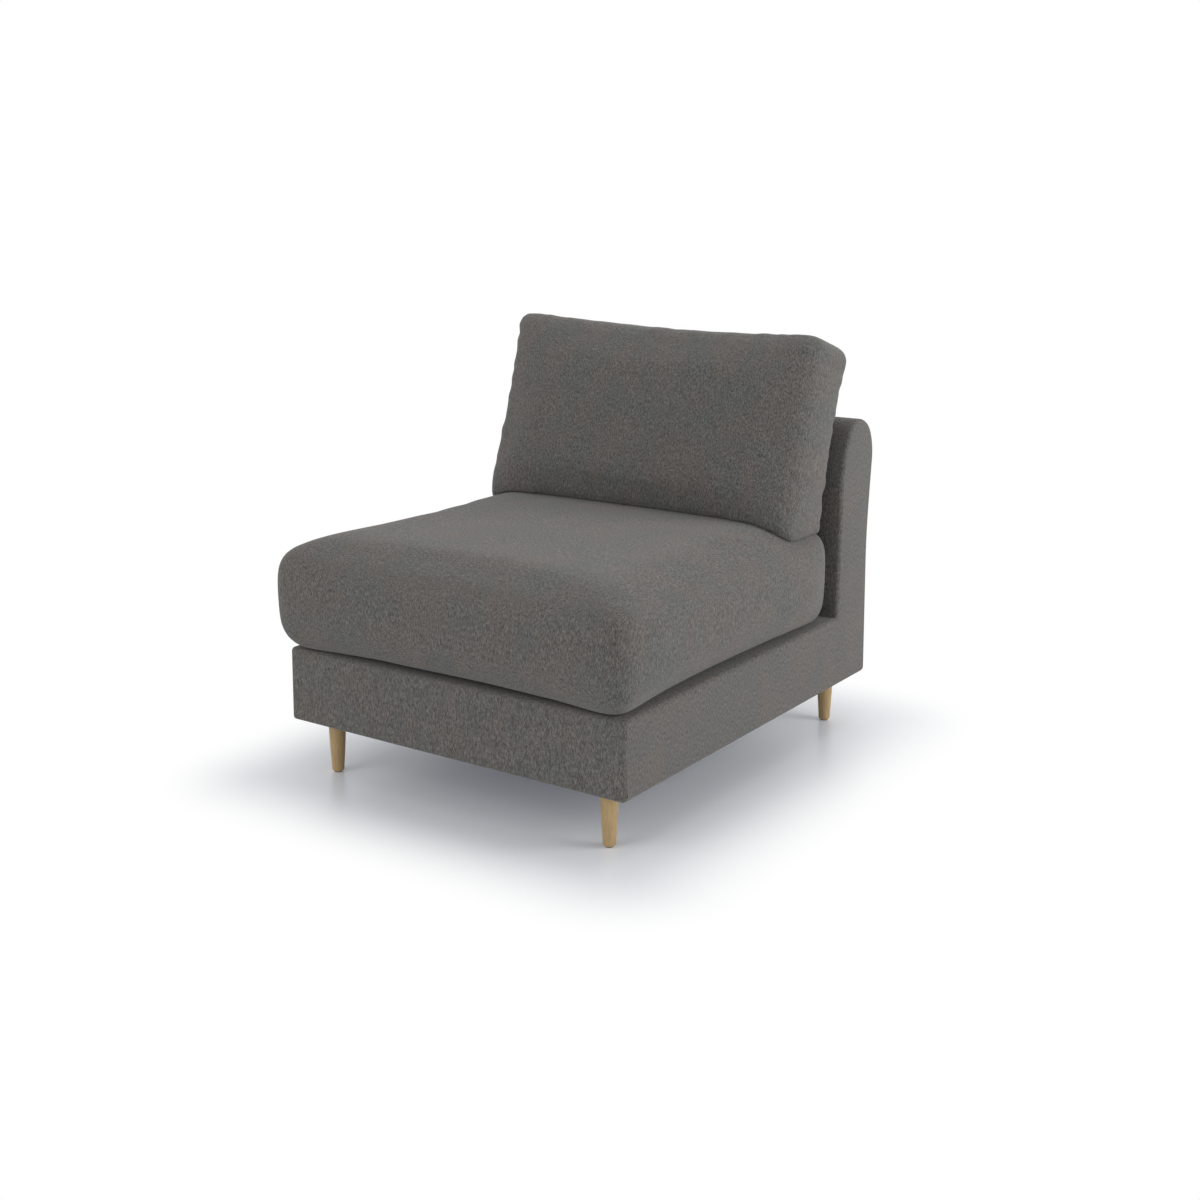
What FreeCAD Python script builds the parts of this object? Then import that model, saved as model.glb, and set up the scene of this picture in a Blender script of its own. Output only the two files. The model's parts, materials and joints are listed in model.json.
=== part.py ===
import FreeCAD, Part
import math
import os
import Sketcher

# Armless sofa in millimetres: +Z up, the front towards -Y, the origin on the floor under the middle of its box.
# Loose seat and back cushions stand on an upholstered timber base with a low padded back and four turned legs.

DRIVING_SIZES = [
    ("base_width", 800, "upholstered base, side to side"),
    ("base_depth", 948, "upholstered base, front to rear"),
    ("base_shift", 8, "middle of the base behind the origin"),
    ("leg_height", 111, "floor to the underside of the base"),
    ("deck_height", 260, "floor to the deck that the seat cushion rests on"),
    ("skin", 2, "thickness of the sewn cloth with its backing"),
    ("pad", 8, "cloth and wadding together over the timber"),
    ("board", 18, "thickness of a side panel"),
    ("rail", 22, "thickness of a rail"),
    ("front_edge_radius", 7, "bottom front edge of the base"),
    ("deck_edge_radius", 9, "top front edge of the base"),
    ("rear_edge_radius", 11, "bottom rear edge of the base"),
    ("side_edge_bevel", 3, "bevel of the soft edges round a side"),
    ("back_foot", 810, "base front to the foot of the back"),
    ("back_breast", 820, "base front to the top of the back's flat face"),
    ("back_breast_height", 530, "top of the back's flat face"),
    ("crest_front", 854, "base front to the front of the rounded crest"),
    ("crest_rear", 955, "base front to the rear of the rounded crest"),
    ("crest_height", 645, "height at which the rounded crest starts"),
    ("shoulder", 966.4, "base front to the rear shoulder"),
    ("shoulder_height", 571, "height of the rear shoulder"),
    ("waist", 956, "base front to the rear below the shoulder"),
    ("waist_height", 485, "height of the rear below the shoulder"),
    ("hip_height", 365, "height at which the rear turns upright"),
    ("breast_radius", 241, "curve from the flat face to the crest"),
    ("crest_radius", 58.9, "curve over the crest"),
    ("shoulder_radius", 110, "curve from the crest to the shoulder"),
    ("hollow_radius", 1100, "hollow below the shoulder"),
    ("webbing_plane", 846, "base front to the front of the back webbing"),
    ("back_top_rail_height", 612, "top of the back's top rail"),
    ("leg_inset_side", 70, "side of the base to a leg's axis"),
    ("leg_inset_front", 56, "front of the base to a front leg's axis"),
    ("leg_inset_rear", 51, "rear of the base to a rear leg's axis"),
    ("leg_top_radius", 18, "leg where it meets the base"),
    ("leg_foot_radius", 12, "leg at the foot"),
    ("spring_count", 5, "springs side by side"),
    ("spring_bars", 14, "straight bars in a spring"),
    ("spring_half_width", 24, "half of a spring's width"),
    ("wire_radius", 2, "spring wire"),
    ("seat_half_width", 420, "seat cushion, middle to side at its corners"),
    ("seat_front", 500, "seat cushion, origin to front at its corners"),
    ("seat_rear", 333, "seat cushion, origin to rear at its fullest"),
    ("seat_bottom", 260.5, "underside of the seat cushion"),
    ("seat_top", 481, "crown of the seat cushion"),
    ("seat_corner", 36, "radius of an upright corner of the seat cushion"),
    ("seat_hollow", 9, "how far a side is drawn in between its corners"),
    ("back_half_width", 386, "back cushion, middle to side at its corners"),
    ("back_half_height", 211, "back cushion, middle to edge along its slope"),
    ("back_front_depth", 102, "back cushion, middle to its front face"),
    ("back_rear_depth", 94, "back cushion, middle to its rear face"),
    ("back_corner", 34, "radius of a corner of the back cushion"),
    ("back_hollow", 10, "how far its sides are drawn in"),
    ("recline", 18, "lean of the back cushion from upright, in degrees"),
    ("back_centre_y", 280, "middle of the back cushion, from the origin"),
    ("back_centre_z", 640, "middle of the back cushion, from the floor"),
    ("seat_zip_half_length", 300, "half of the seat cushion's zip"),
    ("back_zip_half_length", 240, "half of the back cushion's zip"),
]

document = FreeCAD.newDocument("armless_sofa")
sheet = document.addObject("Spreadsheet::Sheet", "Sizes")
NODES = {}


class Size:
    """A length that knows its value and the sheet expression that it is worked out from."""

    def __init__(self, value, text=None):
        self.value = float(value)
        self.text = text if text else repr(float(value))

    def __add__(self, other):
        other = as_size(other)
        return Size(self.value + other.value, f"({self.text} + {other.text})")

    def __sub__(self, other):
        other = as_size(other)
        return Size(self.value - other.value, f"({self.text} - {other.text})")

    def __mul__(self, other):
        other = as_size(other)
        return Size(self.value * other.value, f"({self.text} * {other.text})")

    def __truediv__(self, other):
        other = as_size(other)
        return Size(self.value / other.value, f"({self.text} / {other.text})")

    def __radd__(self, other):
        return as_size(other) + self

    def __rsub__(self, other):
        return as_size(other) - self

    def __rmul__(self, other):
        return as_size(other) * self

    def __neg__(self):
        return Size(-self.value, f"(0 - {self.text})")


def as_size(length):
    return length if isinstance(length, Size) else Size(length)


def fill_sheet():
    """Write the driving sizes to the sheet and give each back under its name."""
    sizes = {}
    for row, (name, value, meaning) in enumerate(DRIVING_SIZES, start=1):
        sheet.set(f"A{row}", meaning)
        sheet.set(f"B{row}", str(value))
        sheet.setAlias(f"B{row}", name)
        sizes[name] = Size(value, f"Sizes.{name}")
    document.recompute()
    return sizes


S = fill_sheet()
FRONT = S["base_shift"] - S["base_depth"] / 2
REAR = FRONT + S["base_depth"]
SIDE = S["base_width"] / 2
UNDERSIDE = S["leg_height"]
DECK = S["deck_height"]
SKIN = S["skin"]
PAD = S["pad"]
PADDED_SIDE = SIDE - PAD
INNER_SIDE = PADDED_SIDE - S["board"]
FRAME_BOTTOM = UNDERSIDE + PAD
FRAME_TOP = DECK - PAD
WEBBING_FRONT = FRONT + S["webbing_plane"]
STRAP = 2
RAIL_TOP = FRAME_TOP - 8


def bind(feature, name, length):
    feature.setExpression(name, as_size(length).text)


def place(feature, x=0, y=0, z=0):
    for axis, length in (("x", x), ("y", y), ("z", z)):
        bind(feature, f"Placement.Base.{axis}", length)
    return feature


def node(label, feature):
    """Keep a finished piece under the name of its file."""
    feature.Label = label
    NODES[label] = feature
    return feature


# Primitives and booleans


def box(name, x, y, z):
    """A box from three (low, high) pairs."""
    feature = document.addObject("Part::Box", name)
    for side, (low, high) in (("Length", x), ("Width", y), ("Height", z)):
        bind(feature, side, as_size(high) - low)
    return place(feature, x[0], y[0], z[0])


def prism(name, sides, radius, height, x, y, z):
    """An upright bar with flat sides, for fixings that are many and small."""
    feature = document.addObject("Part::Prism", name)
    feature.Polygon = sides
    bind(feature, "Circumradius", radius)
    bind(feature, "Height", height)
    return place(feature, x, y, z)


def cut(name, base, tool):
    feature = document.addObject("Part::Cut", name)
    feature.Base = base
    feature.Tool = tool
    return feature


def common(name, base, tool):
    feature = document.addObject("Part::Common", name)
    feature.Base = base
    feature.Tool = tool
    return feature


def group(name, members):
    """Separate solids in one piece of the parts list."""
    feature = document.addObject("Part::Compound", name)
    feature.Links = members
    return feature


def fuse(name, members):
    feature = document.addObject("Part::MultiFuse", name)
    feature.Shapes = members
    return feature


def mirrored(name, source):
    """The same piece on the other side of the sofa."""
    feature = document.addObject("Part::Mirroring", name)
    feature.Source = source
    feature.Normal = (1, 0, 0)
    return feature


def faceted_solid(rings):
    """A solid with flat faces through level rings, each with the same number of corners, anticlockwise."""
    outlines = [rings[0][::-1], rings[-1]]
    for low, high in zip(rings[:-1], rings[1:]):
        for corner in range(len(low)):
            after = (corner + 1) % len(low)
            outlines.append([low[corner], low[after], high[after], high[corner]])
    faces = [Part.Face(Part.makePolygon(outline + outline[:1])) for outline in outlines]
    return Part.makeSolid(Part.makeShell(faces))


def shape_feature(name, shape):
    """A shape that no sketch or primitive gives: a faceted round, a folded sheet or a bent wire."""
    feature = document.addObject("Part::Feature", name)
    feature.Shape = shape
    return feature


# Sketches


def plane_of(body, role):
    return next(f for f in body.Origin.OriginFeatures if f.Role == role)


def arc_through(start, end, radius, turn):
    """A circle's arc from start to end that bulges to the left (turn 1) or the right (turn -1) of the way."""
    along = end - start
    reach = math.sqrt(max(radius**2 - (along.Length / 2) ** 2, 0))
    left = FreeCAD.Vector(-along.y, along.x, 0).normalize()
    centre = (start + end) * 0.5 - left * (reach * turn)
    circle = Part.Circle(centre, FreeCAD.Vector(0, 0, 1), radius)
    first, last = (end, start) if turn > 0 else (start, end)
    angles = [math.atan2(p.y - centre.y, p.x - centre.x) for p in (first, last)]
    return Part.ArcOfCircle(circle, *angles)


def outline_sketch(body, name, role, corners, height=0):
    """A closed outline: each corner is (x, y) before a line, or (x, y, radius, turn) before an arc."""
    sketch = body.newObject("Sketcher::SketchObject", name)
    sketch.AttachmentSupport = [(plane_of(body, role), "")]
    sketch.MapMode = "FlatFace"
    bind(sketch, "AttachmentOffset.Base.z", height)
    points = [FreeCAD.Vector(as_size(c[0]).value, as_size(c[1]).value, 0) for c in corners]
    starts, ends = [], []
    for index, corner in enumerate(corners):
        start, end = points[index], points[(index + 1) % len(points)]
        if len(corner) == 2:
            sketch.addGeometry(Part.LineSegment(start, end))
            starts.append(1)
            ends.append(2)
            continue
        radius, turn = as_size(corner[2]), corner[3]
        sketch.addGeometry(arc_through(start, end, radius.value, turn))
        starts.append(2 if turn > 0 else 1)
        ends.append(1 if turn > 0 else 2)
        limit = sketch.addConstraint(Sketcher.Constraint("Radius", index, radius.value))
        bind(sketch, f"Constraints[{limit}]", radius)
    for index, corner in enumerate(corners):
        after = (index + 1) % len(corners)
        sketch.addConstraint(Sketcher.Constraint("Coincident", index, ends[index], after, starts[after]))
        for kind, length in (("DistanceX", corner[0]), ("DistanceY", corner[1])):
            length = as_size(length)
            limit = sketch.addConstraint(Sketcher.Constraint(kind, index, starts[index], length.value))
            bind(sketch, f"Constraints[{limit}]", length)
    return sketch


def padded_prism(name, corners, low, high, role="YZ_Plane"):
    """A body made by padding an outline from low to high along the normal of its plane."""
    body = document.addObject("PartDesign::Body", name)
    sketch = outline_sketch(body, f"{name}_outline", role, corners, low)
    pad = body.newObject("PartDesign::Pad", f"{name}_pad")
    pad.Profile = sketch
    bind(pad, "Length", as_size(high) - low)
    document.recompute()
    return body


def bevel_face_edges(body, name, x, width):
    """Bevel the edges of the face that lies at one x."""
    tip = body.Tip
    level = as_size(x).value
    edges = []
    for index, edge in enumerate(tip.Shape.Edges, start=1):
        bounds = edge.BoundBox
        if abs(bounds.XMin - level) < 0.01 and abs(bounds.XMax - level) < 0.01:
            edges.append(f"Edge{index}")
    bevel = body.newObject("PartDesign::Chamfer", f"{name}_bevel")
    bevel.Base = (tip, edges)
    bind(bevel, "Size", width)
    document.recompute()
    return body


def side_outline(inset):
    """The sofa's side: low base, deck and upright back with a rounded crest, drawn in by an inset."""
    front, rear = FRONT + inset, REAR - inset
    below, above = UNDERSIDE + inset, DECK - inset
    front_radius = S["front_edge_radius"] - inset * 0.75
    deck_radius = S["deck_edge_radius"] - inset * 0.75
    rear_radius = S["rear_edge_radius"] - inset * 0.75
    crest = S["crest_height"]
    return [
        (front, below + front_radius),
        (front, above - deck_radius, deck_radius, 1),
        (front + deck_radius, above),
        (FRONT + S["back_foot"] + inset, above),
        (FRONT + S["back_breast"] + inset, S["back_breast_height"], S["breast_radius"] - inset, 1),
        (FRONT + S["crest_front"] + inset * 0.86, crest - inset * 0.51, S["crest_radius"] - inset, 1),
        (FRONT + S["crest_rear"] - inset * 0.87, crest - inset * 0.5, S["shoulder_radius"] - inset, 1),
        (FRONT + S["shoulder"] - inset, S["shoulder_height"] + inset * 0.15),
        (FRONT + S["waist"] - inset, S["waist_height"] + inset * 0.12, S["hollow_radius"] + inset, -1),
        (rear, S["hip_height"]),
        (rear, below + rear_radius, rear_radius, 1),
        (rear - rear_radius, below),
        (front + front_radius, below, front_radius, 1),
    ]


# Padded shapes that the covers, the padding and the panels are cut from


def make_forms():
    """Prisms of the side outline across the middle, at the cloth, under the cloth and under the wadding."""
    forms = {}
    for name, inset in (("cloth_form", Size(0)), ("wadding_form", SKIN), ("frame_form", PAD)):
        forms[name] = padded_prism(name, side_outline(inset), -PADDED_SIDE, PADDED_SIDE)
    return forms


FORMS = make_forms()


def zone(name, y, z, half_width=PADDED_SIDE):
    return box(name, (-half_width, half_width), y, z)


ABOVE_ALL = S["crest_height"] + 100
BEHIND_ALL = REAR + 100
FRONT_LAP = FRONT + 25
REAR_LAP = REAR - 22


def panel_zones(prefix, outer, inner):
    """Where the front, the deck, the inner back and the outer back of one layer meet each other."""
    foot = FRONT + S["back_foot"] + outer
    crest = S["crest_height"] - outer * 0.5
    front = zone(f"{prefix}_front_zone", (FRONT - 1, FRONT_LAP), (UNDERSIDE - 1, DECK + 1))
    deck = zone(f"{prefix}_deck_zone", (FRONT_LAP, foot), (DECK - 20, DECK - outer))
    outer_back = zone(f"{prefix}_rear_zone", (REAR_LAP, BEHIND_ALL), (UNDERSIDE - 1, crest))
    all_back = zone(f"{prefix}_back_zone", (foot, BEHIND_ALL), (DECK - inner, ABOVE_ALL))
    inner_back = cut(f"{prefix}_inner_zone", all_back, outer_back)
    return {"front": front, "deck": deck, "outer_back": outer_back, "inner_back": inner_back}


def make_layer(prefix, outer_form, inner_form, outer, inner, labels):
    layer = cut(f"{prefix}_layer", FORMS[outer_form], FORMS[inner_form])
    for where, where_zone in panel_zones(prefix, outer, inner).items():
        label = labels[where]
        node(label, common(label, layer, where_zone))
    return layer


def make_middle_covers_and_wadding():
    """Front, deck and back covers in cloth, each over its own wadding, and the dust cover below."""
    cloth = make_layer(
        "cloth",
        "cloth_form",
        "wadding_form",
        Size(0),
        SKIN,
        {
            "front": "front_cover",
            "deck": "deck_cloth",
            "outer_back": "outer_back_cover",
            "inner_back": "inner_back_cover",
        },
    )
    make_layer(
        "wadding",
        "wadding_form",
        "frame_form",
        SKIN,
        PAD,
        {
            "front": "front_wadding",
            "deck": "deck_pad",
            "outer_back": "outer_back_wadding",
            "inner_back": "inner_back_wadding",
        },
    )
    below = zone("dust_zone", (FRONT_LAP, REAR_LAP), (UNDERSIDE - 1, UNDERSIDE + SKIN))
    leg_holes = group("leg_holes", [leg_prism("leg_hole", where, 16, 21, -5, 20) for where in LEG_PLACES])
    node("dust_cover", cut("dust_cover", common("dust_sheet", cloth, below), leg_holes))


def make_sides():
    """Each side: an L-shaped board, wadding over it, and a cloth cover folded round the wadding's edge."""
    cover_form = padded_prism("side_cloth_form", side_outline(Size(0)), PADDED_SIDE, SIDE)
    bevel_face_edges(cover_form, "side_cloth_form", SIDE, S["side_edge_bevel"])
    wadding_form = padded_prism("side_wadding", side_outline(SKIN), PADDED_SIDE, SIDE - S["side_edge_bevel"])
    cover = cut("side_cloth", cover_form, wadding_form)
    panel = padded_prism("side_board", side_outline(PAD), INNER_SIDE, PADDED_SIDE)
    for label, right in (("side_cover", cover), ("side_wadding", wadding_form), ("side_panel", panel)):
        node(f"{label}_right", right)
        node(f"{label}_left", mirrored(f"{label}_left", right))


# Timber frame between the side panels


def cross_rail(label, y, z):
    return node(label, box(label, (-INNER_SIDE, INNER_SIDE), y, z))


RAIL = S["rail"]
FRONT_RAIL = (FRONT + PAD, FRONT + PAD + RAIL)
SPRING_RAIL = (FRONT + S["back_foot"] - 14, FRONT + S["back_foot"] - 14 + RAIL)
OUTER_BOARD = (REAR - PAD - 3, REAR - PAD)
REAR_RAIL = (OUTER_BOARD[0] - RAIL, OUTER_BOARD[0])
BACK_RAIL_FRONT = WEBBING_FRONT + STRAP
TOP_RAIL = (S["back_top_rail_height"] - 24, S["back_top_rail_height"])
LOWER_BACK_RAIL = (DECK + 2, DECK + 72)
RAIL_LIFT = 2
BLOCK_HEIGHT = 24
PLATE_THICKNESS = 3


def make_rails():
    cross_rail("front_rail", FRONT_RAIL, (FRAME_BOTTOM + RAIL_LIFT, RAIL_TOP))
    cross_rail("spring_rail", SPRING_RAIL, (RAIL_TOP - 70, RAIL_TOP))
    cross_rail("rear_rail", REAR_RAIL, (FRAME_BOTTOM + RAIL_LIFT, RAIL_TOP))
    cross_rail("back_lower_rail", (BACK_RAIL_FRONT, BACK_RAIL_FRONT + RAIL), LOWER_BACK_RAIL)
    cross_rail("back_top_rail", (BACK_RAIL_FRONT, REAR_RAIL[1]), TOP_RAIL)
    cross_rail("outer_back_board", OUTER_BOARD, (FRAME_BOTTOM + 6, TOP_RAIL[1]))
    half = RAIL / 2
    stretcher = box("stretcher", (-half, half), (FRONT_RAIL[1], REAR_RAIL[0]), (FRAME_BOTTOM, FRAME_BOTTOM + 44))
    node("centre_stretcher", stretcher)
    post_depth = (BACK_RAIL_FRONT + RAIL, REAR_RAIL[0])
    node("back_centre_post", box("post", (-half, half), post_depth, (LOWER_BACK_RAIL[0], TOP_RAIL[0])))


# Legs and what holds them

LEG_SIDE = SIDE - S["leg_inset_side"]
LEG_FRONT = FRONT + S["leg_inset_front"]
LEG_REAR = REAR - S["leg_inset_rear"]
LEG_PLACES = {
    "front_left": (-LEG_SIDE, LEG_FRONT),
    "front_right": (LEG_SIDE, LEG_FRONT),
    "rear_left": (-LEG_SIDE, LEG_REAR),
    "rear_right": (LEG_SIDE, LEG_REAR),
}
LEG_TOP = FRAME_BOTTOM - PLATE_THICKNESS
GLIDE_HEIGHT = 1.5
BOLT_RADIUS = 4
BOLT_SIDES = 8
SCREW_SIDES = 6
LEG_SIDES = 24
PLATE_HALF = 26
SCREW_SPREAD = 15


def leg_prism(name, where, sides, radius, low, height, x=0, y=0):
    """An upright bar near a leg's axis, from a height over the underside of the base."""
    leg_x, leg_y = LEG_PLACES[where]
    return prism(f"{name}_{where}", sides, radius, height, leg_x + x, leg_y + y, UNDERSIDE + low)


def make_leg_form():
    """A turned leg: a slim taper with a softened foot, its rounds drawn with many flat sides."""
    foot, top = S["leg_foot_radius"].value, S["leg_top_radius"].value
    soft = 3
    profile = [
        (foot - soft, GLIDE_HEIGHT),
        (foot, GLIDE_HEIGHT + soft),
        (foot + (top - foot) * 0.55, UNDERSIDE.value / 2),
        (top, UNDERSIDE.value),
        (top, LEG_TOP.value),
    ]
    turns = [2 * math.pi * side / LEG_SIDES for side in range(LEG_SIDES)]
    rings = []
    for radius, height in profile:
        rings.append([FreeCAD.Vector(radius * math.cos(turn), radius * math.sin(turn), height) for turn in turns])
    return shape_feature("leg_form", faceted_solid(rings))


def make_legs():
    """Four legs of one form, each bored for its hanger bolt."""
    leg_form = make_leg_form()
    for where, (x, y) in LEG_PLACES.items():
        turned = place(group(f"turned_{where}", [leg_form]), x, y)
        bore = leg_prism("leg_bore", where, BOLT_SIDES, BOLT_RADIUS, -30, 60)
        node(f"leg_{where}", cut(f"leg_{where}", turned, bore))


def make_leg_fixings():
    """Corner blocks over screwed steel plates, a hanger bolt up each leg's axis, and a glide under each foot."""
    blocks, plates, bolts, screws, glides = [], [], [], [], []
    for where, (x, y) in LEG_PLACES.items():
        block_low, block_high = FRAME_BOTTOM, FRAME_BOTTOM + BLOCK_HEIGHT
        block_x, block_y = block_span(where, x, y)
        blocks.append(box(f"block_{where}", block_x, block_y, (block_low, block_high)))
        around = [(c - PLATE_HALF, c + PLATE_HALF) for c in (x, y)]
        plates.append(box(f"plate_{where}", around[0], around[1], (LEG_TOP, FRAME_BOTTOM)))
        bolts.append(leg_prism("bolt", where, BOLT_SIDES, BOLT_RADIUS, -30, 56))
        glides.append(prism(f"glide_{where}", 12, 8, GLIDE_HEIGHT, x, y, 0))
        for side in (-1, 1):
            for end in (-1, 1):
                name = f"screw_{side + 1}{end + 1}"
                low = PAD - PLATE_THICKNESS
                spread = side * SCREW_SPREAD, end * SCREW_SPREAD
                screws.append(leg_prism(name, where, SCREW_SIDES, 2, low, 18, *spread))
    bolt_group = node("leg_bolts", group("leg_bolts", bolts))
    screw_group = node("leg_plate_screws", group("leg_plate_screws", screws))
    holes = group("fixing_holes", [bolt_group, screw_group])
    node("corner_blocks", cut("corner_blocks", group("block_group", blocks), holes))
    node("leg_plates", cut("leg_plates", group("plate_group", plates), holes))
    node("leg_glides", group("leg_glides", glides))


def block_span(where, x, y):
    """A corner block reaches from the side panel over the leg, beside the front or the rear rail."""
    reach = 60
    block_x = (-INNER_SIDE, x + reach) if "left" in where else (x - reach, INNER_SIDE)
    block_y = (FRONT_RAIL[1], y + reach) if "front" in where else (y - reach, REAR_RAIL[0])
    return block_x, block_y


# Seat suspension: sinuous springs held in folded clips

CLIP_HALF = 12
CLIP_STEEL = 1.5
WIRE = S["wire_radius"]
WIRE_HEIGHT = RAIL_TOP + CLIP_STEEL + WIRE + 0.3
FRONT_CLIP = FRONT_RAIL[0] + RAIL / 2
REAR_CLIP = SPRING_RAIL[0] + RAIL / 2
SPRING_PITCH = (REAR_CLIP - FRONT_CLIP) / (S["spring_bars"] - 1)


def spring_places():
    count = int(S["spring_count"].value)
    spacing = INNER_SIDE * 2 / S["spring_count"]
    return [spacing * (index - (count - 1) / 2) for index in range(count)]


def spring_path(x):
    """The zigzag of one spring in plan: bars across, joined by bevelled U-turns at either side in turn."""
    half, bars = S["spring_half_width"].value, int(S["spring_bars"].value)
    start, pitch, height = FRONT_CLIP.value, SPRING_PITCH.value, WIRE_HEIGHT.value
    bevel = pitch / 4
    side = 1
    points = [(-half, start)]
    for bar in range(bars - 1):
        y = start + bar * pitch
        for out, along in ((0, 0), (bevel, bevel), (bevel, pitch - bevel), (0, pitch)):
            points.append((side * (half + out), y + along))
        side = -side
    points.append((side * half, start + (bars - 1) * pitch))
    return [FreeCAD.Vector(x + across, y, height) for across, y in points]


def spring_shape(x):
    """A six-sided wire swept along the zigzag with mitred bends."""
    points = spring_path(x)
    first, radius = points[0], WIRE.value
    ring = []
    for corner in range(7):
        angle = math.radians(60 * corner)
        ring.append(first + FreeCAD.Vector(0, radius * math.cos(angle), radius * math.sin(angle)))
    mitred = 1
    path = Part.Wire(Part.makePolygon(points).Edges)
    return path.makePipeShell([Part.makePolygon(ring)], True, False, mitred)


def clip_shape(x, y, mouth):
    """A folded steel clip over the end bar of a spring, open towards the span (mouth 1 or -1)."""
    low, bar = RAIL_TOP.value, 2 * WIRE.value + 0.6
    steel, back, lip = CLIP_STEEL, 5.0, 3.5
    inner_back = -mouth * (back - steel)
    outline = [
        (mouth * back, low),
        (-mouth * back, low),
        (-mouth * back, low + bar + 2 * steel),
        (mouth * lip, low + bar + 2 * steel),
        (mouth * lip, low + bar + steel),
        (inner_back, low + bar + steel),
        (inner_back, low + steel),
        (mouth * back, low + steel),
    ]
    corners = [FreeCAD.Vector(x - CLIP_HALF, y + across, z) for across, z in outline]
    face = Part.Face(Part.makePolygon(corners + corners[:1]))
    return face.extrude(FreeCAD.Vector(2 * CLIP_HALF, 0, 0))


def make_suspension():
    places = [place_x.value for place_x in spring_places()]
    springs = Part.makeCompound([spring_shape(x) for x in places])
    node("seat_springs", shape_feature("seat_springs", springs))
    clips = []
    for x in places:
        clips.append(clip_shape(x, FRONT_CLIP.value, 1))
        clips.append(clip_shape(x, REAR_CLIP.value, -1))
    node("spring_clips", shape_feature("spring_clips", Part.makeCompound(clips)))
    ties = []
    tie_radius = 1.25
    for index, share in enumerate((0.33, 0.66)):
        y = FRONT_CLIP + (REAR_CLIP - FRONT_CLIP) * share
        below_springs = WIRE_HEIGHT - WIRE * 0.866 - tie_radius
        tie = prism(f"tie_{index}", 6, tie_radius, INNER_SIDE * 2, -INNER_SIDE, y, below_springs)
        tie.Placement.Rotation = FreeCAD.Rotation(FreeCAD.Vector(0, 1, 0), 90)
        ties.append(tie)
    node("spring_ties", group("spring_ties", ties))


def make_back_suspension():
    """Upright webbing from rail to rail, with cross straps behind it between the side panels."""
    half_strap = 25
    uprights = []
    for index in range(4):
        x = INNER_SIDE * ((index - 1.5) * 0.48)
        span = (LOWER_BACK_RAIL[0], TOP_RAIL[1] - 5)
        uprights.append(box(f"upright_{index}", (x - half_strap, x + half_strap), (WEBBING_FRONT, BACK_RAIL_FRONT), span))
    node("back_webbing_upright", group("back_webbing_upright", uprights))
    crosses = []
    for index in range(3):
        low = LOWER_BACK_RAIL[1] + 25 + index * 75
        depth = (BACK_RAIL_FRONT, BACK_RAIL_FRONT + STRAP)
        crosses.append(box(f"cross_{index}", (-INNER_SIDE, INNER_SIDE), depth, (low, low + 2 * half_strap)))
    node("back_webbing_cross", group("back_webbing_cross", crosses))


def make_back_foam():
    """Foam in front of the webbing, a roll over the top rail and a shaped pad behind the outer board."""
    form = FORMS["frame_form"]
    everywhere = FRONT, BEHIND_ALL
    slab = zone("slab_zone", (FRONT, WEBBING_FRONT), (DECK + 2, TOP_RAIL[1]), INNER_SIDE)
    roll = zone("roll_zone", everywhere, (TOP_RAIL[1], ABOVE_ALL), INNER_SIDE)
    lens = zone("lens_zone", (OUTER_BOARD[1] + 0.4, BEHIND_ALL), (DECK, TOP_RAIL[1]), INNER_SIDE)
    node("inner_back_foam", common("inner_back_foam", form, slab))
    node("back_top_roll", common("back_top_roll", form, roll))
    node("outer_back_foam", common("outer_back_foam", form, lens))


# Loose cushions


# Where a drawn-in side bends: the place along it from -1 to 1, and the share of its full depth there
BENDS = [(-0.6, 0.64), (-0.2, 0.96), (0.2, 0.96), (0.6, 0.64)]
CORNER_TURNS = [math.radians(22.5 * step) for step in range(4)]

# Each level of a cushion: its height, and how far it is drawn in from the fullest outline
SEAT_LEVELS = [
    (0, 28),
    (14, 16),
    (27, 9),
    (50, 3),
    (88, 1),
    (137, 0),
    (160, 1),
    (185, 7),
    (198, 19),
    (209, 44),
    (216, 78),
    (220.5, 120),
]
BACK_LEVELS = [
    (-94, 104),
    (-92, 76),
    (-87, 46),
    (-76, 20),
    (-64, 7),
    (-52, 0),
    (68, 0),
    (82, 7),
    (90, 18),
    (97, 44),
    (100, 74),
    (102, 104),
]
CORE_INSET = 16


def cushion_outline(half_x, front, rear, corner, slope, flat_rear):
    """A rectangle with round corners whose sides are drawn in between them, as points anticlockwise."""
    middle_y = (rear - front) / 2
    run_x, run_y = half_x - corner, (rear + front) / 2 - corner
    sides = [
        (FreeCAD.Vector(0, -front, 0), run_x, slope),
        (FreeCAD.Vector(half_x, middle_y, 0), run_y, slope),
        (FreeCAD.Vector(0, rear, 0), run_x, 0 if flat_rear else slope),
        (FreeCAD.Vector(-half_x, middle_y, 0), run_y, slope),
    ]
    points = []
    along, out = FreeCAD.Vector(1, 0, 0), FreeCAD.Vector(0, -1, 0)
    for middle, run, fall in sides:
        points.append(middle - along * run)
        for way, deep in BENDS:
            points.append(middle + along * (run * way) - out * (run * fall * deep))
        centre = middle + along * run - out * corner
        for turn in CORNER_TURNS:
            points.append(centre + out * (corner * math.cos(turn)) + along * (corner * math.sin(turn)))
        along, out = FreeCAD.Vector(-along.y, along.x, 0), along
    return points


def stacked_cushion(name, levels, half_x, front, rear, corner, hollow, flat_rear):
    """A cushion built up through level outlines: each level is a height and how far it is drawn in."""
    slope = hollow / (half_x - corner)
    rings = []
    for height, inset in levels:
        outline = cushion_outline(half_x - inset, front - inset, rear - inset, corner, slope, flat_rear)
        rings.append([point + FreeCAD.Vector(0, 0, height) for point in outline])
    return shape_feature(name, faceted_solid(rings))


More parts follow.
